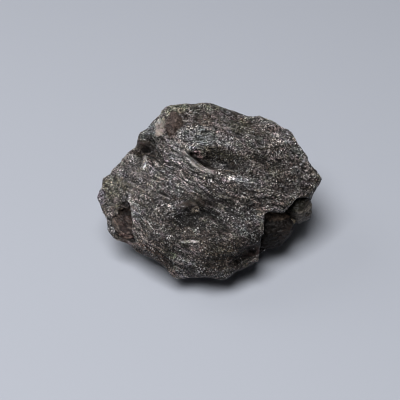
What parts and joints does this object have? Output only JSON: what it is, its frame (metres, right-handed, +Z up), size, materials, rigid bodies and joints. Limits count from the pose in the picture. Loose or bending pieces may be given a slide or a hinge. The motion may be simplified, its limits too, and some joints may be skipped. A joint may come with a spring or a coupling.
{
  "type": "garnet-mica schist specimen",
  "caption": "Wedge-shaped hand specimen of dark, wavy-layered mica schist with a sparkling broken face and rounded garnet crystals in sockets, lying on a flat underside.",
  "frame": {"origin": "on the resting plane, under the middle of the specimen's bounding box", "axes": "+X along the longest side of the block, to the right as the broad face is looked at; +Y from the low front edge to the high back edge; +Z up from the resting face"},
  "size_m": [0.0609, 0.0503, 0.0303],
  "materials": {
    "schist": "rough broken schist, dark grey-brown, with glittering mica grains",
    "garnet": "satin, dark reddish-brown, worn smooth"
  },
  "bodies": {
    "root": {"schist_matrix": "schist", "garnet_right_front": "garnet", "garnet_right_back": "garnet", "garnet_left": "garnet", "garnet_upper_left": "garnet"}
  },
  "joints": []
}
